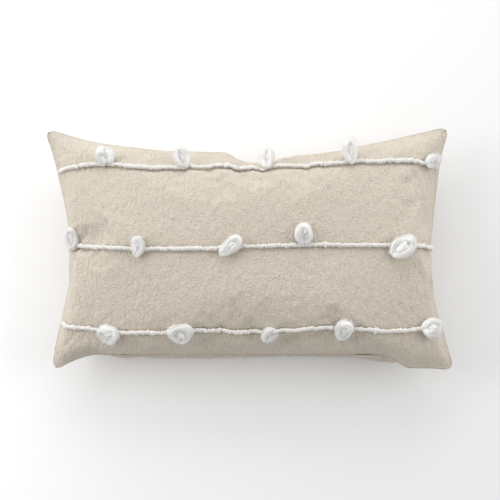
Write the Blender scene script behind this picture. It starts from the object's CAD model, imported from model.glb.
"""A stuffed lumbar pillow: cotton cover with corded rows of wool tufts, zip and insert.

The cover is two flat panels sewn round their edge and blown up by a cloth simulation, so every
piece on it is placed by where it lies on the flat cloth: u runs from -1 to 1 along the panel
and v from -1 (the zip's edge) to 1 across it.
"""

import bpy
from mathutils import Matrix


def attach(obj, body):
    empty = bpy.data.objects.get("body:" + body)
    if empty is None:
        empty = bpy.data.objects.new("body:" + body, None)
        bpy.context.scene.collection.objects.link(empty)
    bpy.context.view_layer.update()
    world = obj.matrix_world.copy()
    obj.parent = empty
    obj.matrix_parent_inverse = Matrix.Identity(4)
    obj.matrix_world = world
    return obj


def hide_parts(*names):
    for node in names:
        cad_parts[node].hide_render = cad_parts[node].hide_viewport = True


bl_info = {
    "name": "Tufted lumbar pillow",
    "version": (1, 0, 0),
    "blender": (4, 5, 0),
    "location": "View3D > Sidebar > Pillow",
    "description": "Builds a stuffed lumbar pillow with corded rows of wool tufts",
    "category": "Object",
}

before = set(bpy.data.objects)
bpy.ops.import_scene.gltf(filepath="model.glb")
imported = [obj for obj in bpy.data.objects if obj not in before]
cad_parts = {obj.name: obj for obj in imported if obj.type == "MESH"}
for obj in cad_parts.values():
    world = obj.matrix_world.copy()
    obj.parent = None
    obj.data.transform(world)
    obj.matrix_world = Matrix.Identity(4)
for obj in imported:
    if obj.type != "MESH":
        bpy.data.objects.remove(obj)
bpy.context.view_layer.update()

import math
from functools import lru_cache

import bpy
import numpy as np
from mathutils import Vector

MM = 0.001
SEAM = 0.047  # height of the side seam
ZIP_Y = -0.126  # the straight edge that holds the zip
ZIP_HALF = 0.1524
SIM_COLUMNS, SIM_ROWS = 84, 50
FINER = 4  # mesh cells per simulated cell
FRAMES = 60  # steps until the stuffed cover is at rest
LIE = 0.0002  # the lowest that cloth lies over the floor


# ---------------------------------------------------------------- settings


class ClothSettings(bpy.types.PropertyGroup):
    """Cover cloth"""

    length: bpy.props.FloatProperty(
        name="Cut length", description="Flat cover, seam to seam", default=0.508, unit="LENGTH",
    )
    width: bpy.props.FloatProperty(
        name="Cut width", description="Flat cover, seam to seam", default=0.305, unit="LENGTH",
    )
    pressure: bpy.props.FloatProperty(
        name="Fullness", description="Pressure that blows up the cover", default=3.0,
    )
    crinkle: bpy.props.FloatProperty(
        name="Crinkle", description="Height of the cloth's crinkles", default=0.00042, unit="LENGTH",
        precision=5,
    )
    thread: bpy.props.FloatProperty(
        name="Thread spacing", description="Spacing of the weave", default=0.0009, unit="LENGTH",
        precision=5,
    )
    colour: bpy.props.FloatVectorProperty(
        name="Colour", description="Natural cotton", default=(0.66, 0.585, 0.485), subtype="COLOR",
        size=3,
    )
    pale: bpy.props.FloatVectorProperty(
        name="Pale threads", description="Lighter slubs", default=(0.73, 0.665, 0.57),
        subtype="COLOR", size=3,
    )


class TrimSettings(bpy.types.PropertyGroup):
    """Cords and tufts"""

    cord_width: bpy.props.FloatProperty(
        name="Cord width", description="Width of a woven-in cord", default=0.0056, unit="LENGTH",
        precision=4,
    )
    bead: bpy.props.FloatProperty(
        name="Bead spacing", description="Distance between the warp threads that pinch a cord",
        default=0.0029, unit="LENGTH", precision=4,
    )
    wool: bpy.props.FloatVectorProperty(
        name="Wool", description="Colour of the tufts", default=(0.90, 0.89, 0.87), subtype="COLOR",
        size=3,
    )
    yarn: bpy.props.FloatVectorProperty(
        name="Yarn", description="Colour of the cords", default=(0.78, 0.76, 0.725), subtype="COLOR",
        size=3,
    )


class StageSettings(bpy.types.PropertyGroup):
    """Camera, light and floor"""

    lens: bpy.props.FloatProperty(name="Lens", description="Focal length in mm", default=100.0)
    tilt: bpy.props.FloatProperty(
        name="Tilt", description="How far the camera leans to the zip's side",
        default=math.radians(6.5), subtype="ANGLE",
    )
    view_width: bpy.props.FloatProperty(
        name="View width", description="Width seen at the seam's height", default=0.6163,
        unit="LENGTH",
    )
    floor: bpy.props.FloatVectorProperty(
        name="Floor", description="Pale floor", default=(0.84, 0.84, 0.84), subtype="COLOR", size=3,
    )


def cloth():
    return bpy.context.scene.pillow_cloth


def trim():
    return bpy.context.scene.pillow_trim


# ---------------------------------------------------------------- shader helper


class Graph:
    """A material's node tree, built by calls."""

    def __init__(self, name, **principled):
        self.material = bpy.data.materials.new(name)
        self.material.use_nodes = True
        self.tree = self.material.node_tree
        self.shader = self.tree.nodes["Principled BSDF"]
        for key, value in principled.items():
            self.shader.inputs[key.replace("_", " ")].default_value = value

    def node(self, kind, settings=None, out=0, **sockets):
        made = self.tree.nodes.new(kind)
        for key, value in (settings or {}).items():
            if key == "stops":
                made.color_ramp.elements[0].position, made.color_ramp.elements[0].color = value[0]
                made.color_ramp.elements[1].position, made.color_ramp.elements[1].color = value[-1]
                for place, colour in value[1:-1]:
                    made.color_ramp.elements.new(place).color = colour
            else:
                setattr(made, key, value)
        for key, value in sockets.items():
            socket = made.inputs[int(key[1:])] if key[1:].isdigit() else made.inputs[key.replace("_", " ")]
            self.feed(socket, value)
        return Value(self, made.outputs[out])

    def feed(self, socket, value):
        if isinstance(value, Value):
            self.tree.links.new(value.socket, socket)
        else:
            socket.default_value = value

    def set(self, key, value):
        self.feed(self.shader.inputs[key], value)

    def maths(self, operation, *values):
        return self.node(
            "ShaderNodeMath", {"operation": operation}, **{f"i{n}": v for n, v in enumerate(values)},
        )

    def mix(self, factor, first, second):
        return self.node("ShaderNodeMix", {"data_type": "RGBA"}, out=2, i0=factor, i6=first, i7=second)

    def bump(self, height, distance, strength=1.0):
        return self.node("ShaderNodeBump", Height=height, Distance=distance, Strength=strength)


class Value:
    """A shader socket that Python's arithmetic adds Math nodes to."""

    def __init__(self, graph, socket):
        self.graph, self.socket = graph, socket

    def __add__(self, other):
        return self.graph.maths("ADD", self, other)

    __radd__ = __add__

    def __mul__(self, other):
        return self.graph.maths("MULTIPLY", self, other)

    __rmul__ = __mul__

    def __sub__(self, other):
        return self.graph.maths("SUBTRACT", self, other)

    def __rsub__(self, other):
        return self.graph.maths("SUBTRACT", other, self)

    def __pow__(self, other):
        return self.graph.maths("POWER", self, other)

    def clamped(self):
        return self.graph.maths("MINIMUM", self.graph.maths("MAXIMUM", self, 0.0), 1.0)


def rgba(colour, scale=1.0):
    return tuple(c * scale for c in colour) + (1.0,)


# ---------------------------------------------------------------- number helpers


def smooth(t):
    t = np.clip(t, 0.0, 1.0)
    return t * t * (3 - 2 * t)


def hill(x, middle, half):
    """1 at middle, falling smoothly to 0 at half either side."""
    return smooth(1 - np.abs(x - middle) / half)


def grain(x, y, cell_x, cell_y, seed):
    """Smooth noise from -1 to 1 with cells of that size."""
    gx, gy = x / cell_x + 50.3, y / cell_y + 50.7
    ix, iy = np.floor(gx).astype(int), np.floor(gy).astype(int)
    size = tuple(i.max() + 2 - min(i.min(), 0) for i in (ix, iy))
    table = np.random.default_rng(seed).uniform(-1, 1, size)
    fx, fy = smooth(gx - ix), smooth(gy - iy)
    low = table[ix, iy] * (1 - fx) + table[ix + 1, iy] * fx
    high = table[ix, iy + 1] * (1 - fx) + table[ix + 1, iy + 1] * fx
    return low * (1 - fy) + high * fy


def finer(values, times, axis):
    """Catmull-Rom interpolation of a grid to that many cells per cell along one axis."""
    values = np.moveaxis(values, axis, 0)
    padded = np.concatenate([2 * values[:1] - values[1:2], values, 2 * values[-1:] - values[-2:-1]])
    count = values.shape[0] - 1
    place = np.arange(count * times + 1) / times
    index = np.minimum(place.astype(int), count - 1)
    t = (place - index).reshape((-1,) + (1,) * (values.ndim - 1))
    a, b, c, d = (padded[index + k] for k in range(4))
    out = b + 0.5 * t * (c - a + t * (2 * a - 5 * b + 4 * c - d + t * (3 * (b - c) + d - a)))
    return np.moveaxis(out, 0, axis)


def unit(v):
    return v / np.maximum(np.linalg.norm(v, axis=-1, keepdims=True), 1e-12)


# ---------------------------------------------------------------- mesh helpers


def deselect():
    if bpy.context.mode != "OBJECT":
        bpy.ops.object.mode_set(mode="OBJECT")
    bpy.ops.object.select_all(action="DESELECT")


def edit_all(step, **options):
    """Selects the whole active mesh in edit mode and does one step to it."""
    bpy.ops.object.mode_set(mode="EDIT")
    bpy.ops.mesh.select_all(action="SELECT")
    step(**options)
    bpy.ops.object.mode_set(mode="OBJECT")


def finished(made, finish):
    """Gives a piece its material, or stops the build where the piece isn't whole."""
    if not made.data.polygons or not np.isfinite(coordinates(made.data)).all():
        raise RuntimeError(f"{made.name} has no faces, or points without a place")
    made.data.materials.append(finish)
    return made


def coordinates(mesh):
    got = np.empty(len(mesh.vertices) * 3)
    mesh.vertices.foreach_get("co", got)
    return got.reshape(-1, 3)


def place_vertices(mesh, points):
    mesh.vertices.foreach_set("co", np.ascontiguousarray(points, dtype=np.float32).ravel())
    mesh.update()


def new_sheet(name, points, closed=False):
    """A grid primitive whose vertices are put at points[row, column]; closed joins the last row
    to the first. Its UV map holds the row and column as shares."""
    rows, columns = points.shape[:2]
    deselect()
    bpy.ops.mesh.primitive_grid_add(x_subdivisions=columns - 1, y_subdivisions=rows - 1, size=1)
    made = bpy.context.object
    made.name = made.data.name = name
    flat = coordinates(made.data)
    column = np.rint((flat[:, 0] + 0.5) * (columns - 1)).astype(int)
    row = np.rint((flat[:, 1] + 0.5) * (rows - 1)).astype(int)
    place_vertices(made.data, points[row, column])
    if closed:
        edit_all(bpy.ops.mesh.remove_doubles, threshold=1e-6)
    bpy.ops.object.shade_smooth()
    return made


def turn_out(made):
    """Makes a closed piece's faces look outwards."""
    deselect()
    made.select_set(True)
    bpy.context.view_layer.objects.active = made
    edit_all(bpy.ops.mesh.normals_make_consistent, inside=False)


def joined(name, made):
    deselect()
    for piece in made:
        piece.select_set(True)
    bpy.context.view_layer.objects.active = made[0]
    if len(made) > 1:
        bpy.ops.object.join()
    made[0].name = made[0].data.name = name
    return made[0]


def tube(name, route, radius, across=None, around=12, roughen=None):
    """A closed tube along route (points n x 3). radius and across are its half height and half
    width at each point; up is away from the cloth where normals are given with the route."""
    path, up = route
    along = unit(np.gradient(path, axis=0))
    side = unit(np.cross(along, up))
    lift = unit(np.cross(side, along))
    across = radius if across is None else across
    turn = np.linspace(0, 2 * math.pi, around + 1)
    ring = (
        path[None] + np.cos(turn)[:, None, None] * (side * across[:, None])[None]
        + np.sin(turn)[:, None, None] * (lift * radius[:, None])[None]
    )
    if roughen is not None:
        middle = path[None]
        ring = middle + (ring - middle) * roughen(turn)[..., None]
    ring[-1] = ring[0]
    made = new_sheet(name, ring, closed=True)
    bpy.ops.object.mode_set(mode="EDIT")
    bpy.ops.mesh.select_all(action="DESELECT")
    bpy.ops.mesh.select_non_manifold(extend=False)
    bpy.ops.mesh.fill_holes(sides=0)
    bpy.ops.object.mode_set(mode="OBJECT")
    turn_out(made)
    return made


# ---------------------------------------------------------------- the stuffed shape


def simulate():
    """Blows up two flat panels sewn at their rim and lets them settle on a table. Returns the
    front and back as grids of points [row, column]."""
    flat_length, flat_width = cloth().length, cloth().width
    deselect()
    bpy.ops.mesh.primitive_grid_add(x_subdivisions=SIM_COLUMNS, y_subdivisions=SIM_ROWS, size=2)
    bag = bpy.context.object
    bag.name = "stuffing_form"
    start = coordinates(bag.data)
    count = len(start)
    bpy.ops.object.mode_set(mode="EDIT")
    bpy.ops.mesh.select_all(action="SELECT")
    bpy.ops.mesh.duplicate()
    bpy.ops.mesh.flip_normals()
    bpy.ops.object.mode_set(mode="OBJECT")
    u, v = np.tile(start[:, 0], 2), np.tile(start[:, 1], 2)
    side = np.repeat([1.0, -1.0], count)
    dome = 0.012 * (1 - u**4) * (1 - v**4)
    place_vertices(bag.data, np.stack([u * flat_length / 2, v * flat_width / 2, 0.05 + side * dome], 1))
    for name, values in (("u", u), ("v", v), ("side", side)):
        bag.data.attributes.new(name, "FLOAT", "POINT").data.foreach_set(
            "value", values.astype(np.float32),
        )
    edit_all(bpy.ops.mesh.remove_doubles, threshold=1e-6)
    facts = {}
    for name in ("u", "v", "side"):
        facts[name] = np.empty(len(bag.data.vertices), dtype=np.float32)
        bag.data.attributes[name].data.foreach_get("value", facts[name])
    column = np.rint((facts["u"] + 1) / 2 * SIM_COLUMNS).astype(int)
    row = np.rint((facts["v"] + 1) / 2 * SIM_ROWS).astype(int)
    rim = (column == 0) | (column == SIM_COLUMNS) | (row == 0) | (row == SIM_ROWS)

    scene = bpy.context.scene
    bpy.ops.mesh.primitive_plane_add(size=3)
    table = bpy.context.object
    bpy.ops.object.modifier_add(type="COLLISION")
    table.collision.thickness_outer = 0.002
    table.collision.cloth_friction = 40
    deselect()
    bag.select_set(True)
    bpy.context.view_layer.objects.active = bag
    bpy.ops.object.modifier_add(type="CLOTH")
    blow = bag.modifiers[-1]
    s = blow.settings
    s.quality, s.mass, s.air_damping = 6, 0.002, 1
    s.tension_stiffness = s.compression_stiffness = 15
    s.shear_stiffness, s.bending_stiffness = 7.5, 0.5
    s.tension_damping = s.compression_damping = s.shear_damping = 5
    s.bending_damping = 0.5
    s.use_pressure, s.uniform_pressure_force = True, cloth().pressure
    blow.collision_settings.distance_min = 0.002
    blow.collision_settings.use_self_collision = False
    scene.frame_start, scene.frame_end, blow.point_cache.frame_end = 1, FRAMES, FRAMES
    for number in range(1, FRAMES + 1):
        scene.frame_set(number)
    bpy.ops.object.modifier_apply(modifier=blow.name)
    bpy.data.objects.remove(table)
    settled = coordinates(bag.data)
    settled[:, 2] -= settled[:, 2].min()
    grids = []
    for wanted in (1, -1):
        grid = np.zeros((SIM_ROWS + 1, SIM_COLUMNS + 1, 3))
        take = rim | (facts["side"] * wanted > 0)
        grid[row[take], column[take]] = settled[take]
        grids.append(grid)
    bpy.data.objects.remove(bag)
    return grids


def curve_through(places, x):
    """A smooth curve through (x, y) pairs."""
    px, py = np.array(places).T
    slope = np.gradient(py, px)
    i = np.clip(np.searchsorted(px, x) - 1, 0, len(px) - 2)
    h = px[i + 1] - px[i]
    t = np.clip((x - px[i]) / h, 0, 1)
    return (
        (2 * t**3 - 3 * t**2 + 1) * py[i] + (t**3 - 2 * t**2 + t) * h * slope[i]
        + (-2 * t**3 + 3 * t**2) * py[i + 1] + (t**3 - t**2) * h * slope[i + 1]
    )


# How far each edge stands out (+) or in (-) from an even pillow, in mm, by place along it.
UPPER_EDGE = [
    (-1, 7.5), (-0.93, 6), (-0.8, 2), (-0.5, 4.5), (-0.16, 6), (0.15, 3), (0.3, 3.5), (0.5, 5.5),
    (0.7, 5.5), (0.88, 7.5), (1, 9.5),
]
UPPER_DENT = [
    (-0.17, 0), (-0.12, 1), (-0.09, -1), (-0.05, -6.5), (-0.01, -10.5), (0.06, -7.5), (0.15, -3.5),
    (0.3, 0),
]
LOWER_EDGE = [
    (-1, -1.5), (-0.93, -6.5), (-0.8, -10), (-0.65, -3), (-0.45, 6.5), (-0.2, 8), (0.1, 6), (0.4, 3),
    (0.6, 5), (0.7, 4), (0.8, 2), (0.93, -1.5), (1, -1),
]
LEFT_EDGE = [(-1, -0.5), (-0.8, -0.5), (-0.5, -3), (0, -1.5), (0.5, -2.5), (0.8, 0.5), (1, 6)]
RIGHT_EDGE = [
    (-1, -1), (-0.8, -3), (-0.5, -5.5), (-0.1, -2), (0.1, -5.5), (0.5, -5.5), (0.8, -1.5), (1, 6),
]
SKEW = -0.0215
CORNER_ROUND = 0.017  # radius of a turned corner

# Where each cord runs across the flat cloth: (u, v).
CORD_LINES = {
    "upper": [
        (-1, 0.64), (-0.9, 0.665), (-0.72, 0.69), (-0.5, 0.645), (-0.25, 0.66), (0, 0.69),
        (0.25, 0.69), (0.5, 0.68), (0.75, 0.695), (0.9, 0.685), (1, 0.67),
    ],
    "middle": [(-1, 0.02), (-0.72, 0), (-0.3, -0.005), (0, 0.01), (0.25, 0.02), (0.7, 0.02), (1, 0.01)],
    "lower": [
        (-1, -0.60), (-0.9, -0.655), (-0.72, -0.68), (-0.5, -0.645), (-0.25, -0.625), (0, -0.65),
        (0.25, -0.63), (0.42, -0.63), (0.6, -0.625), (0.72, -0.635), (1, -0.615),
    ],
}


def even(line, reach):
    """A running average along a line of points that keeps its two ends."""
    step = np.arange(-4 * reach, 4 * reach + 1)
    weight = np.exp(-0.5 * (step / reach) ** 2)
    more = len(step) // 2
    head = 2 * line[:1] - line[1 : more + 1][::-1]
    tail = 2 * line[-1:] - line[-more - 1 : -1][::-1]
    longer = np.concatenate([head, line, tail])
    return np.stack([np.convolve(longer[:, k], weight / weight.sum(), "valid") for k in range(3)], 1)


def ironed(grid, u, v):
    """Takes the puckers out of the seams, less and less towards the middle."""
    rows = np.stack([even(line, 6) for line in grid])
    columns = np.stack([even(line, 4) for line in np.swapaxes(grid, 0, 1)], 1)
    out = grid + (np.abs(v) ** 9)[..., None] * (rows - grid)
    return out + (np.abs(u) ** 11)[..., None] * (columns - out)


def settle(grid, u, v, dent_reach):
    """Gives a form its slight skew, uneven edges, dented upper edge and turned corners. The dent
    fades into the cloth sooner where dent_reach is higher."""
    out = grid.copy()
    out[..., 1] += MM * ((1 + v) / 2) ** 2 * curve_through(UPPER_EDGE, u)
    out[..., 1] += MM * ((1 + v) / 2) ** dent_reach * curve_through(UPPER_DENT, u)
    out[..., 1] -= MM * ((1 - v) / 2) ** 2 * curve_through(LOWER_EDGE, u)
    out[..., 0] += MM * ((1 + u) / 2) ** 2 * curve_through(RIGHT_EDGE, v)
    out[..., 0] -= MM * ((1 - u) / 2) ** 2 * curve_through(LEFT_EDGE, v)
    out[..., 0] += SKEW * out[..., 1]
    p = 1 - (1 - np.abs(u)) * cloth().length / 2 / CORNER_ROUND
    q = 1 - (1 - np.abs(v)) * cloth().width / 2 / CORNER_ROUND
    p, q = np.maximum(p, 0), np.maximum(q, 0)
    out[..., 0] += np.sign(u) * p * (np.sqrt(1 - q**2 / 2) - 1) * CORNER_ROUND
    out[..., 1] += np.sign(v) * q * (np.sqrt(1 - p**2 / 2) - 1) * CORNER_ROUND
    return out


@lru_cache(maxsize=None)
def stuffed():
    """Front and back grids at the mesh's own fineness, with their flat places u and v."""
    front, back = simulate()
    u = np.linspace(-1, 1, SIM_COLUMNS + 1)[None].repeat(SIM_ROWS + 1, 0)
    v = np.linspace(-1, 1, SIM_ROWS + 1)[:, None].repeat(SIM_COLUMNS + 1, 1)
    front, back = (finer(finer(ironed(grid, u, v), FINER, 0), FINER, 1) for grid in (front, back))
    u = np.linspace(-1, 1, front.shape[1])[None].repeat(front.shape[0], 0)
    v = np.linspace(-1, 1, front.shape[0])[:, None].repeat(front.shape[1], 1)
    front, back = settle(front, u, v, 9), settle(back, u, v, 3.5)
    # The zip's edge is straight and level where the chain runs.
    along = smooth((0.195 - np.abs(front[0, :, 0])) / 0.045)[None]
    lift_y, lift_z = (ZIP_Y - front[0, :, 1])[None], (SEAM - front[0, :, 2])[None]
    for grid, reach in ((front, 0.3), (back, 0.12)):
        hold = along * smooth(1 - (1 + v) / reach)
        grid[..., 1] += hold * lift_y
        grid[..., 2] += hold * lift_z
    # Beside the zip both walls run even, clear of its tapes.
    for grid in (front, back):
        middle = grid[:, np.abs(front[0, :, 0]) < 0.15].mean(1, keepdims=True)
        evened = (along * smooth(1 - (1 + v) / 0.3))[..., None]
        grid[..., 1:] += evened * (middle[..., 1:] - grid[..., 1:])
    # The front's wall rises from the zip in one round sweep.
    last = 16
    share = np.linspace(0, 1, last + 1)[:, None, None]
    low, high = front[:1], front[last : last + 1]
    rise = np.array([0.0, 0.12, 1.0]) * (high[..., 2:] - low[..., 2:]) * 1.1
    leave = (front[last + 3 : last + 4] - high) * last / 3
    sweep = (2 * share**3 - 3 * share**2 + 1) * low + (share**3 - 2 * share**2 + share) * rise
    sweep = sweep + (3 * share**2 - 2 * share**3) * high + (share**3 - share**2) * leave
    front[: last + 1, :, 1:] += along[..., None] * (sweep - front[: last + 1])[..., 1:]
    # The back is fuller than the front and bulges below the zip.
    out = np.abs(back[..., 0])
    fuller = 0.0028 * smooth((0.2 - out) / 0.05) + 0.0034 * hill(out, 0.172, 0.05)
    back[..., 1] -= fuller * np.exp(-(((v + 0.88) / 0.08) ** 2))
    for grid in (front, back):
        grid[..., 2] = np.maximum(grid[..., 2], 0.0004)
    return front, back, u, v


def normals(grid, side):
    across = np.gradient(grid, axis=1)
    along = np.gradient(grid, axis=0)
    return unit(np.cross(across, along)) * side


def front_at(u, v):
    """Points and outward normals of the smooth front at flat places u, v (arrays)."""
    front = stuffed()[0]
    rows, columns = front.shape[:2]
    facing = normals(front, 1)
    r = np.clip((np.asarray(v) + 1) / 2 * (rows - 1), 0, rows - 1.001)
    c = np.clip((np.asarray(u) + 1) / 2 * (columns - 1), 0, columns - 1.001)
    i, j = r.astype(int), c.astype(int)
    a, b = (r - i)[..., None], (c - j)[..., None]

    def blend(g):
        low = g[i, j] * (1 - b) + g[i, j + 1] * b
        high = g[i + 1, j] * (1 - b) + g[i + 1, j + 1] * b
        return low * (1 - a) + high * a

    return blend(front), unit(blend(facing))


# ---------------------------------------------------------------- cover


def crinkles(u, v, side):
    """Height of the cloth's crinkles and soft waves, in metres."""
    x, y = u * cloth().length / 2, v * cloth().width / 2
    seed = 10 if side > 0 else 60
    drift = 0.0022 * grain(x, y, 0.02, 0.03, seed) + 0.0014 * grain(x, y, 0.006, 0.012, seed + 1)
    fine = grain(x + drift, y, 0.0033, 0.0085, seed + 2) + 0.7 * grain(
        x - drift, y, 0.0046, 0.014, seed + 3,
    )
    pebble = grain(x, y, 0.0034, 0.0036, seed + 7)
    patch = 0.8 + 0.4 * grain(x, y, 0.045, 0.045, seed + 4)
    broad = 0.5 * grain(x, y, 0.03, 0.06, seed + 5) + 0.35 * grain(x + drift, y, 0.011, 0.03, seed + 6)
    fade = smooth((1 - np.maximum(np.abs(u), np.abs(v))) / 0.03)
    return (cloth().crinkle * (fine + 0.5 * pebble) * patch + 0.00035 * broad) * fade


def cord_wander(u, name):
    """A cord's place across the flat cloth, with its small drifts."""
    seed = 200 + len(name)
    x = np.asarray(u) * cloth().length / 2
    drift = 0.004 * grain(x, x * 0, 0.03, 1.0, seed) + 0.0045 * grain(x, x * 0, 0.012, 1.0, seed + 1)
    return curve_through(CORD_LINES[name], np.asarray(u, float)) + drift


def cord_valleys(u, v):
    """The cloth dips under each cord, most on its lower side."""
    dip = np.zeros_like(u)
    for name in CORD_LINES:
        away = (v - cord_wander(u, name)) * cloth().width / 2
        dip -= 0.0019 * np.exp(-(((away + 0.0012) / 0.0034) ** 2)) + 0.0007 * np.exp(-((away / 0.011) ** 2))
    return dip * smooth((1 - np.abs(u)) / 0.03)


def panel(name, side):
    """One cover panel with its seam allowance turned in."""
    front, back, u, v = stuffed()
    grid = front if side > 0 else back
    raised = crinkles(u, v, side)
    if side > 0:
        raised = raised + cord_valleys(u, v)
    points = grid + normals(grid, side) * raised[..., None]
    points[..., 2] = np.maximum(points[..., 2], LIE)
    # Turned-in rings outside the grid, between the two panels.
    inside = (front + back) / 2
    rings = [(0.0006, 0.0004), (0.003, 0.0003), (0.008, 0.0004)]
    zip_rings = [(0.0012, 0.00135), (0.0015, 0.0030), (0.0026, 0.0058)]
    rows, columns = grid.shape[:2]
    full = np.pad(points, ((3, 3), (3, 3), (0, 0)), mode="edge")
    r, c = np.meshgrid(np.arange(rows + 6) - 3, np.arange(columns + 6) - 3, indexing="ij")
    nr, nc = np.clip(r, 0, rows - 1), np.clip(c, 0, columns - 1)
    ring = np.maximum(np.maximum(-r, r - rows + 1), np.maximum(-c, c - columns + 1))
    rim = grid[nr, nc]
    reach = inside[np.clip(nr, 5, rows - 6), np.clip(nc, 5, columns - 6)] - rim
    reach[..., 2] = 0
    inward = unit(reach)
    on_zip = smooth((ZIP_HALF - np.abs(rim[..., 0])) / 0.003) * (nr == 0)
    border = (nr == 0) | (nr == rows - 1) | (nc == 0) | (nc == columns - 1)
    for number in (0, 1, 2, 3):
        at = (ring == number) & ((number > 0) | border)
        depth, height = (0.0, 0.0005) if number == 0 else rings[number - 1]
        zip_depth, zip_height = (0.0, 0.00085) if number == 0 else zip_rings[number - 1]
        d = depth + (zip_depth - depth) * on_zip
        h = height + (zip_height - height) * on_zip
        moved = rim + inward * d[..., None]
        moved[..., 2] = rim[..., 2] + side * h
        full[at] = moved[at]
    made = new_sheet(name, full)
    layer = made.data.uv_layers.active.data
    uv = np.empty(len(layer) * 2)
    layer.foreach_get("uv", uv)
    uv = uv.reshape(-1, 2)
    scale = np.array([(columns + 5) / (columns - 1), (rows + 5) / (rows - 1)])
    uv = (uv - 0.5) * scale * [cloth().length, cloth().width]
    layer.foreach_set("uv", uv.ravel().astype(np.float32))
    if side < 0:
        deselect()
        made.select_set(True)
        bpy.context.view_layer.objects.active = made
        edit_all(bpy.ops.mesh.flip_normals)
    return made


def cotton(name):
    """Crinkled plain weave with slubs, streaks and a few dark flecks."""
    g = Graph(name, Roughness=0.92, Specular_IOR_Level=0.2, Sheen_Weight=0.08, Sheen_Roughness=0.6)
    uv = g.node("ShaderNodeUVMap", {"uv_map": "UVMap"})
    spacing = cloth().thread

    def threads(scale, detail=2.0):
        at = g.node("ShaderNodeMapping", {"vector_type": "POINT"}, Vector=uv, Scale=scale)
        return g.node("ShaderNodeTexNoise", Vector=at, Scale=1.0, Detail=detail, Roughness=0.55)

    warp = threads((1 / spacing, 0.12 / spacing, 1.0))
    weft = threads((0.12 / spacing, 1 / spacing, 1.0))
    slub = threads((60.0, 750.0, 1.0), 1.0)
    streak = threads((420.0, 45.0, 1.0), 2.0)
    patch = threads((14.0, 14.0, 1.0), 3.0)
    fleck = threads((330.0, 330.0, 1.0), 0.0)
    weave = warp * 0.5 + weft * 0.5
    tone = (weave - 0.5) * 0.5 + (streak - 0.5) * 0.5 + (patch - 0.5) * 0.3 + 0.5
    base = g.mix(tone.clamped(), rgba(cloth().colour, 0.92), rgba(cloth().pale))
    pale = ((slub - 0.64) * 8).clamped()
    base = g.mix(pale * 0.4, base, rgba(cloth().pale, 1.06))
    dark = ((fleck - 0.868) * 80).clamped()
    base = g.mix(dark * 0.75, base, (0.12, 0.09, 0.06, 1))
    g.set("Base Color", base)
    crimp = threads((540.0, 300.0, 1.0), 1.0)
    fold = threads((240.0, 85.0, 1.0), 1.5)
    pebble = threads((680.0, 640.0, 1.0), 1.0)
    height = crimp * 0.42 + fold * 0.52 + pebble * 0.30 + weave * 0.14
    g.set("Normal", g.bump(height, 0.0050, 1.0))
    return g.material


class PILLOW_OT_cover(bpy.types.Operator):
    """Sew, stuff and crinkle the two cover panels"""

    bl_idname = "pillow.cover"
    bl_label = "Cover"

    def execute(self, context):
        finish = cotton("crinkled_cotton")
        for name, side in (("cover_front_cloth", 1), ("cover_back_cloth", -1)):
            made = finished(panel(name, side), finish)
            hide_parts("cover_front" if side > 0 else "cover_back")
            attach(made, "pillow")
        return {"FINISHED"}


# ---------------------------------------------------------------- cords

# Lumps on each cord: place along it and size.
LUMPS = {"upper": [(-0.10, 1.5)], "middle": [(0.36, 1.45)], "lower": [(0.60, 1.5)]}


def cord_route(name, reach=0.985, step=0.00035):
    count = int(2 * reach * cloth().length / 2 / step)
    u = np.linspace(-reach, reach, count)
    points, up = front_at(u, cord_wander(u, name))
    return u, points + up * (trim().cord_width * 0.28), up


def beaded(name, row, lumps, seed):
    u, path, up = cord_route(row)
    distance = np.concatenate([[0], np.cumsum(np.linalg.norm(np.diff(path, axis=0), axis=1))])
    chance = np.random.default_rng(seed)
    spare = 40  # beads drawn past the cord's end
    gaps = chance.normal(trim().bead, trim().bead * 0.16, int(distance[-1] / trim().bead) + spare)
    marks = np.cumsum(gaps.clip(0.0016))
    bead = np.searchsorted(marks, distance)
    start = np.concatenate([[0], marks])[bead]
    share = (distance - start) / (marks[bead] - start)
    size = chance.normal(1.0, 0.11, len(marks) + 2).clip(0.78, 1.3)
    shift = chance.normal(0.0, 0.00022, len(marks) + 2)
    puff = 0.60 + 0.40 * np.sin(np.pi * share) ** 0.6
    swell = size[bead] * puff * (1 + 0.10 * grain(distance, distance * 0, 0.02, 1.0, seed + 3))
    for place, much in lumps:
        swell *= 1 + (much - 1) * np.exp(-(((u - place) * 0.254 / 0.0024) ** 2))
    ends = smooth((0.985 - np.abs(u)) / 0.02) * 0.5 + 0.5
    side = unit(np.cross(unit(np.gradient(path, axis=0)), up))
    path = path + side * (shift[bead] * np.sin(np.pi * share))[:, None]
    half = trim().cord_width / 2
    strands = chance.uniform(0, 6.28)

    def roughen(turn):
        lay = distance[None] / 0.011 * 6.28 + strands
        turns, along = np.broadcast_arrays(turn[:, None], distance[None])
        nap = grain(turns * 0.9, along, 0.5, 0.0009, seed + 5)
        return 1 + 0.05 * np.cos(3 * turn[:, None] + lay) + 0.03 * nap

    return tube(
        name, (path, up), half * 0.86 * swell * ends, half * swell * ends, around=14, roughen=roughen,
    )


def yarn():
    g = Graph(
        "bulky_yarn", Roughness=0.9, Specular_IOR_Level=0.2, Sheen_Weight=0.2, Sheen_Roughness=0.5,
    )
    at = g.node("ShaderNodeTexCoord", out=3)
    fibre = g.node("ShaderNodeTexNoise", Vector=at, Scale=1400.0, Detail=3.0, Roughness=0.6)
    clump = g.node("ShaderNodeTexNoise", Vector=at, Scale=160.0, Detail=2.0, Roughness=0.5)
    g.set(
        "Base Color",
        g.mix((clump * 0.8 + fibre * 0.2).clamped(), rgba(trim().yarn, 0.94), rgba(trim().yarn, 1.07)),
    )
    g.set("Normal", g.bump(fibre, 0.0004, 0.7))
    return g.material


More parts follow.
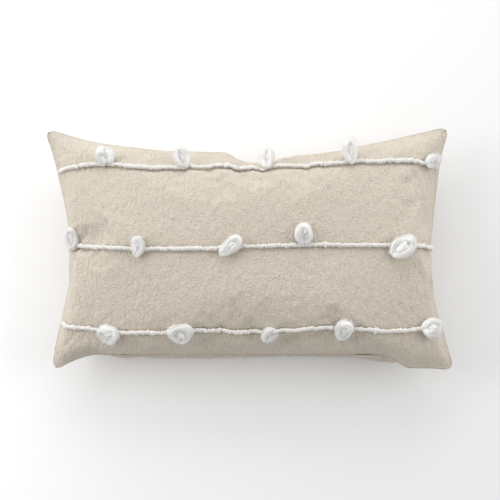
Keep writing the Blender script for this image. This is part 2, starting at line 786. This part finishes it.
class PILLOW_OT_cords(bpy.types.Operator):
    """Lay the three bulky cords across the front"""

    bl_idname = "pillow.cords"
    bl_label = "Cords"

    def execute(self, context):
        finish = yarn()
        for number, name in enumerate(CORD_LINES):
            made = finished(beaded(f"cord_{name}_yarn", name, LUMPS[name], 300 + number), finish)
            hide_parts(f"cord_{name}")
            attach(made, "pillow")
        return {"FINISHED"}


# ---------------------------------------------------------------- tufts

# Each tuft is a loop of roving. Its root's place along the row (u) and across it (mm, +Y), its
# lie (degrees from +X), its length and width (mm), the roving's thickness (mm), how far it stands
# up (mm), how loose its hairs are, and its taper: above 0 it is widest near its root, below 0
# near its far end.
TUFTS = {
    "upper": [
        (-0.685, 0, 108, 22, 26, 13.0, 5, 1.1, 0.2),
        (-0.305, 0, 112, 25, 20, 10.5, 5, 1.2, 0.0),
        (0.097, -1, 88, 27, 18, 9.5, 5, 1.1, 0.2),
        (0.51, -3, 94, 33, 20, 11.0, 6, 2.4, -0.2),
        (0.90, -1, 30, 20, 18, 9.5, 4, 2.2, 0.3),
    ],
    "middle": [
        (-0.90, -1, 92, 26, 16, 8.5, 4, 1.1, 0.1),
        (-0.54, -10, 80, 25, 16, 9.0, 6, 1.2, -0.2),
        (-0.145, -8, 38, 34, 20, 10.5, 6, 1.2, -0.35),
        (0.257, 1, 92, 26, 25, 11.0, 6, 0.9, 0.35),
        (0.675, -11, 35, 33, 28, 12.5, 7, 1.1, 0.0),
    ],
    "lower": [
        (-0.695, -15, 85, 24, 28, 12.0, 6, 1.0, -0.6),
        (-0.35, -14, 88, 24, 29, 11.5, 6, 1.0, -0.6),
        (0.055, -14, 58, 22, 18, 9.0, 6, 1.2, -0.6),
        (0.435, -14, 78, 27, 23, 12.0, 7, 1.4, -0.35),
        (0.835, 0, 2, 26, 26, 9.5, 5, 1.1, 0.1),
    ],
}


def loop_line(spec, count, name):
    """The loop's middle line, from its root out and back, and its up direction."""
    place, beside, lie, length, width, thick, stand, _, taper = spec
    v = cord_wander(np.array([place]), name) + beside * MM / (cloth().width / 2)
    base, up = front_at(np.array([place]), v)
    base, up = base[0], unit(up[0] + np.array([0.0, 0.0, 0.9]))
    x = unit(np.cross(np.array([0.0, 1.0, 0.0]), up))
    y = np.cross(up, x)
    angle = math.radians(lie)
    out = math.cos(angle) * x + math.sin(angle) * y
    over = np.cross(up, out)
    t = np.linspace(0, 1, count)
    reach = (length - 0.75 * thick) * MM
    spread = max(width - thick, 1.0) * MM
    narrowing = 1 + taper * np.cos(2 * np.pi * t)
    wide = spread / 2 * np.sin(2 * np.pi * t) * (0.7 + 0.3 * np.sin(np.pi * t)) * narrowing
    far = reach * (1 - np.cos(2 * np.pi * t)) / 2
    high = thick * MM * 0.36 + MM * stand * np.sin(np.pi * t) ** 0.8 * 0.5
    line = base + out * (far + thick * MM * 0.2)[:, None] - over * wide[:, None] + up * high[:, None]
    sway = np.stack([grain(t, t * 0, 0.17, 1.0, int(1000 + 100 * place + k)) for k in range(3)], 1)
    return line + sway * MM * 1.7 * np.sin(np.pi * t)[:, None] ** 0.5, np.repeat(up[None], count, 0), t


def strands(name, paths, ups, radius):
    """Many tapering hairs in one mesh: paths is hairs x points x 3."""
    count, points = paths.shape[:2]
    along = unit(np.gradient(paths, axis=1))
    side = unit(np.cross(along, ups))
    lift = np.cross(side, along)
    thick = radius * np.sin(np.linspace(0, np.pi, points)).clip(0) ** 0.5
    thick[[0, -1]] = 0
    turn = np.linspace(0, 2 * math.pi, 4)[:, None, None, None]
    ring = paths[None] + thick[None, None, :, None] * (np.cos(turn) * side[None] + np.sin(turn) * lift[None])
    ring[-1] = ring[0]
    made = new_sheet(name, ring.reshape(4, count * points, 3), closed=True)
    edit_all(bpy.ops.mesh.delete_loose, use_verts=True, use_edges=True)
    turn_out(made)
    return made


def wool_tuft(name, spec, row, seed):
    """A loop of unspun wool with combed fibres and stray hairs."""
    chance = np.random.default_rng(seed)
    thick, loose = spec[5] * MM, spec[7]
    line, up, t = loop_line(spec, 72, row)
    body = thick / 2 * (0.5 + 0.5 * np.sin(np.pi * t) ** 0.55)
    body *= 1 + 0.20 * grain(t, t * 0, 0.15, 1.0, seed)

    def roughen(turn):
        comb = grain(turn[:, None] + t[None] * 0.8, t[None] + turn[:, None] * 0, 0.3, 0.5, seed + 1)
        lump = grain(turn[:, None] + t[None] * 0, t[None] + turn[:, None] * 0, 1.2, 0.12, seed + 2)
        ease = np.minimum(1, np.minimum(turn, 2 * math.pi - turn) / 0.5)[:, None]
        return 1 + (0.09 * comb + 0.10 * lump) * ease

    core = tube(name, (line, up), body * 0.78, body, around=28, roughen=roughen)
    made = [core]
    hollow = min(spec[3], spec[4]) - 2 * spec[5]
    if hollow < 8:
        # The roving folds over itself and closes the loop's middle.
        a, b = line[int(0.27 * 71)], line[int(0.73 * 71)]
        near, far = line[4], line[36]
        middle = (a + b + near + far) / 4
        ball = np.linspace(0, math.pi, 25)[:, None]
        turn = np.linspace(0, 2 * math.pi, 37)[None]
        over, out = (b - a) * 0.50, (far - near) * 0.46
        lumps = grain(turn * 2.2 + ball * 0, ball * 1.5 + turn * 0, 1.3, 0.9, seed + 4)
        skin = 1 + 0.22 * lumps * np.sin(turn / 2) ** 0.3
        skin = skin + 0.05 * np.cos(turn * 7 + 2.5 * ball) * np.sin(ball)
        skin[:, -1] = skin[:, 0]
        flat = np.sin(ball) * np.cos(turn) * skin, np.sin(ball) * np.sin(turn) * skin, np.cos(ball) + 0 * turn
        high = (flat[2] * skin)[..., None] * up[0] * thick * 0.46
        points = middle + flat[0][..., None] * over + flat[1][..., None] * out + high
        made.append(new_sheet(name + "_fold", np.swapaxes(points, 0, 1), closed=True))
        turn_out(made[-1])
    hairs = 150
    along = unit(np.gradient(line, axis=0))
    side = unit(np.cross(along, up))
    lift = np.cross(side, along)
    paths, ups = [], []
    for _ in range(hairs):
        first = chance.uniform(0, 0.7)
        last = min(1.0, first + chance.uniform(0.15, 0.5))
        pick = np.linspace(first, last, 9) * 71
        i = np.minimum(pick.astype(int), 70)
        f = (pick - i)[:, None]
        centre = line[i] * (1 - f) + line[i + 1] * f
        around = chance.uniform(0, 6.28) + np.linspace(0, chance.normal(0, 0.7), 9)
        stray = np.linspace(-1, 1, 9) ** 2 * abs(chance.normal(0, 0.30)) * loose
        out = chance.uniform(0.95, 1.22) + stray
        wide = np.interp(pick, np.arange(72), body)[:, None]
        beside = side[i] * wide * (np.cos(around) * out)[:, None]
        above = lift[i] * wide * (np.sin(around) * out * 0.8)[:, None]
        path = centre + beside + above
        paths.append(path + chance.normal(0, 0.00012, path.shape))
        ups.append(up[i])
    fuzz = strands(name + "_hairs", np.array(paths), np.array(ups), 0.00016)
    return joined(name, made + [fuzz])


def wool():
    g = Graph(
        "unspun_wool", Roughness=0.95, Specular_IOR_Level=0.15, Sheen_Weight=0.4, Sheen_Roughness=0.4,
        Subsurface_Weight=0.35, Subsurface_Scale=0.003,
    )
    g.shader.inputs["Subsurface Radius"].default_value = (1.0, 0.95, 0.9)
    at = g.node("ShaderNodeTexCoord", out=3)
    fibre = g.node("ShaderNodeTexNoise", Vector=at, Scale=900.0, Detail=4.0, Roughness=0.65)
    g.set("Base Color", g.mix(fibre, rgba(trim().wool, 0.95), rgba(trim().wool, 1.05)))
    g.set("Normal", g.bump(fibre, 0.0004, 0.5))
    return g.material


class PILLOW_OT_tufts(bpy.types.Operator):
    """Pull up the fifteen loops of unspun wool"""

    bl_idname = "pillow.tufts"
    bl_label = "Tufts"

    def execute(self, context):
        finish = wool()
        for name, specs in TUFTS.items():
            for number, spec in enumerate(specs, start=1):
                seed = 500 + 10 * number + len(name)
                made = finished(wool_tuft(f"wool_{name}_{number}", spec, name, seed), finish)
                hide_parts(f"tuft_{name}_{number}")
                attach(made, "pillow")
        return {"FINISHED"}


# ---------------------------------------------------------------- insert, threads and zip


def shrunk(depth, share_u, share_v):
    """The stuffed form, drawn in, as one closed grid pair."""
    front, back, _, _ = stuffed()
    grids = []
    inside = (front + back) / 2
    for grid, side in ((front, 1), (back, -1)):
        deep = grid - normals(grid, side) * depth
        rows, columns = grid.shape[:2]
        r = np.linspace(-share_v, share_v, SIM_ROWS + 1)
        c = np.linspace(-share_u, share_u, SIM_COLUMNS + 1)
        i = np.rint((r + 1) / 2 * (rows - 1)).astype(int)
        j = np.rint((c + 1) / 2 * (columns - 1)).astype(int)
        edge = np.maximum(np.abs(c[None] / share_u), np.abs(r[:, None] / share_v))
        close = smooth((edge - 0.82) / 0.18)[..., None] ** 1.5
        rim = inside[np.ix_(i, j)] * [0.955, 0.875, 1.0]
        pick = deep[np.ix_(i, j)] * (1 - close) + rim * close
        grids.append(pick)
    return grids


def closed_bag(name, depth, share_u, share_v):
    top, bottom = shrunk(depth, share_u, share_v)
    made = joined(name, [new_sheet(name, top), new_sheet(name + "_under", bottom)])
    edit_all(bpy.ops.mesh.remove_doubles, threshold=1e-6)
    turn_out(made)
    return made


class PILLOW_OT_insert(bpy.types.Operator):
    """Fill the cover with its insert: a cotton casing round carded fibre"""

    bl_idname = "pillow.insert"
    bl_label = "Insert"

    def execute(self, context):
        casing = Graph("insert_cotton", Roughness=0.85, Specular_IOR_Level=0.2)
        at = casing.node("ShaderNodeTexCoord", out=3)
        weave = casing.node("ShaderNodeTexNoise", Vector=at, Scale=1500.0, Detail=2.0)
        casing.set("Base Color", casing.mix(weave, (0.80, 0.80, 0.79, 1), (0.88, 0.88, 0.87, 1)))
        casing.set("Normal", casing.bump(weave, 0.0003, 0.6))
        fibre = Graph("carded_fibre", Roughness=1.0, Specular_IOR_Level=0.1, Sheen_Weight=0.3)
        at = fibre.node("ShaderNodeTexCoord", out=3)
        tangle = fibre.node("ShaderNodeTexNoise", Vector=at, Scale=300.0, Detail=5.0, Roughness=0.7)
        fibre.set("Base Color", fibre.mix(tangle, (0.84, 0.84, 0.84, 1), (0.92, 0.92, 0.92, 1)))
        fibre.set("Normal", fibre.bump(tangle, 0.002, 0.8))
        bag = finished(closed_bag("insert_casing", 0.0045, 0.93, 0.88), casing.material)
        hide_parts("insert_front", "insert_back")
        core = finished(closed_bag("insert_fill", 0.0062, 0.92, 0.87), fibre.material)
        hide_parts("insert_filling")
        for made in (bag, core):
            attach(made, "pillow")
        return {"FINISHED"}


class PILLOW_OT_fastenings(bpy.types.Operator):
    """Finish the zip and sew the side seams"""

    bl_idname = "pillow.fastenings"
    bl_label = "Zip and seams"

    def execute(self, context):
        def grained(name, colour, scale, distance, **shader):
            g = Graph(name, **shader)
            at = g.node("ShaderNodeTexCoord", out=3)
            noise = g.node("ShaderNodeTexNoise", Vector=at, Scale=scale, Detail=3.0)
            g.set("Base Color", g.mix(noise, rgba(colour, 0.92), rgba(colour, 1.06)))
            g.set("Normal", g.bump(noise, distance, 0.5))
            return g.material

        tone = cloth().colour
        tape = grained("zip_tape_twill", tone, 2200.0, 0.0002, Roughness=0.85)
        nylon = grained("zip_nylon", tone, 700.0, 0.0001, Roughness=0.45)
        enamel = grained("zip_enamel", tone, 500.0, 0.00005, Roughness=0.38, Coat_Weight=0.3)
        thread = grained("sewing_thread", tone, 3000.0, 0.0001, Roughness=0.7)
        finishes = {
            "zip_tape": tape,
            "zip_coil": nylon,
            "zip_top": nylon,
            "zip_bottom": nylon,
            "zip_slider": enamel,
            "zip_pull": enamel,
            "zip_thread": thread,
        }
        for start, finish in finishes.items():
            nodes = [node for name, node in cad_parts.items() if name.startswith(start)]
            if not nodes:
                raise RuntimeError(f"the frame has no node named {start}")
            for node in nodes:
                for place in node.material_slots:
                    place.material = finish
        front = stuffed()[0]
        # From one end of the zip round the other three sides to its other end.
        corner = front.shape[1] // 5
        sides = [front[0, -corner:], front[1:, -1], front[-1, ::-1][1:], front[::-1, 0][1:]]
        rim = np.concatenate(sides + [front[0, 1:corner]])
        middle = np.array([0.0, 0.0, SEAM])
        deep = rim.copy()
        toward = middle - rim
        toward[:, 2] = 0
        deep[:, :2] += unit(toward)[:, :2] * 0.0045
        up = np.repeat([[0.0, 0.0, 1.0]], len(deep), 0)
        beat = 0.00028 + 0.00008 * np.sin(np.arange(len(deep)) * 2.2)
        made = finished(tube("side_seam_thread", (deep, up), beat, around=8), thread)
        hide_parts("seam_thread")
        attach(made, "pillow")
        return {"FINISHED"}


# ---------------------------------------------------------------- stage


class PILLOW_OT_stage(bpy.types.Operator):
    """Set the floor, the soft light from the upper left and the camera"""

    bl_idname = "pillow.stage"
    bl_label = "Stage"

    def execute(self, context):
        scene, stage = bpy.context.scene, bpy.context.scene.pillow_stage
        deselect()
        bpy.ops.mesh.primitive_plane_add(size=6, location=(0, 0, -0.0005))
        floor = bpy.context.object
        floor.name = "floor"
        g = Graph("pale_floor", Roughness=0.9, Specular_IOR_Level=0.1)
        place = g.node("ShaderNodeSeparateXYZ", Vector=g.node("ShaderNodeTexCoord", out=3))
        g.set(
            "Base Color",
            g.mix((place * 1.4 + 0.5).clamped(), rgba(stage.floor, 1.07), rgba(stage.floor, 0.90)),
        )
        g.shader.inputs["Emission Color"].default_value = (1.0, 1.0, 1.0, 1.0)
        g.shader.inputs["Emission Strength"].default_value = 0.08
        floor.data.materials.append(g.material)

        world = bpy.data.worlds.new("soft_room")
        scene.world = world
        world.use_nodes = True
        world.node_tree.nodes["Background"].inputs[0].default_value = (1.0, 1.0, 1.0, 1)
        world.node_tree.nodes["Background"].inputs[1].default_value = 0.52

        def softbox(name, place, size, power, colour=(1, 1, 1)):
            bpy.ops.object.light_add(type="AREA", location=place)
            lamp = bpy.context.object
            lamp.name = name
            lamp.data.shape = "RECTANGLE"
            lamp.data.size, lamp.data.size_y = size
            lamp.data.energy = power
            lamp.data.color = colour
            lamp.rotation_euler = (Vector((0, 0, 0.05)) - Vector(place)).to_track_quat("-Z", "Y").to_euler()

        softbox("left_softbox", (-1.8, 0.4, 1.0), (1.4, 1.4), 22.0)
        softbox("right_softbox", (1.8, 0.4, 1.0), (1.4, 1.4), 17.0)
        softbox("upper_softbox", (-0.2, 1.9, 1.0), (2.4, 1.2), 25.0)
        distance = stage.view_width * stage.lens / 36
        bpy.ops.object.camera_add()
        camera = bpy.context.object
        camera.data.lens = stage.lens
        camera.data.sensor_width = 36
        target = Vector((0.0, 0.0028, SEAM))
        camera.location = target + distance * Vector((0, -math.sin(stage.tilt), math.cos(stage.tilt)))
        camera.rotation_euler = (stage.tilt, 0, 0)
        scene.camera = camera
        scene.view_settings.view_transform = "Standard"
        scene.view_settings.look = "None"
        return {"FINISHED"}


# ---------------------------------------------------------------- panel and start

OPERATORS = (
    PILLOW_OT_cover, PILLOW_OT_cords, PILLOW_OT_tufts, PILLOW_OT_insert, PILLOW_OT_fastenings,
    PILLOW_OT_stage,
)


class PILLOW_PT_build(bpy.types.Panel):
    """Builds the pillow piece by piece"""

    bl_idname = "PILLOW_PT_build"
    bl_label = "Pillow"
    bl_space_type = "VIEW_3D"
    bl_region_type = "UI"
    bl_category = "Pillow"

    def draw(self, context):
        for name in ("pillow_cloth", "pillow_trim", "pillow_stage"):
            group = getattr(context.scene, name)
            for key in group.__annotations__:
                self.layout.prop(group, key)
        for operator in OPERATORS:
            self.layout.operator(operator.bl_idname)


SETTINGS = (
    ("pillow_cloth", ClothSettings), ("pillow_trim", TrimSettings), ("pillow_stage", StageSettings),
)


def register():
    for name, group in SETTINGS:
        bpy.utils.register_class(group)
        setattr(bpy.types.Scene, name, bpy.props.PointerProperty(type=group))
    for each in OPERATORS + (PILLOW_PT_build,):
        bpy.utils.register_class(each)


def unregister():
    for each in reversed(OPERATORS + (PILLOW_PT_build,)):
        bpy.utils.unregister_class(each)
    for name, group in reversed(SETTINGS):
        delattr(bpy.types.Scene, name)
        bpy.utils.unregister_class(group)


def main():
    register()
    for operator in OPERATORS:
        category, name = operator.bl_idname.split(".")
        getattr(getattr(bpy.ops, category), name)()


if __name__ == "__main__":
    main()
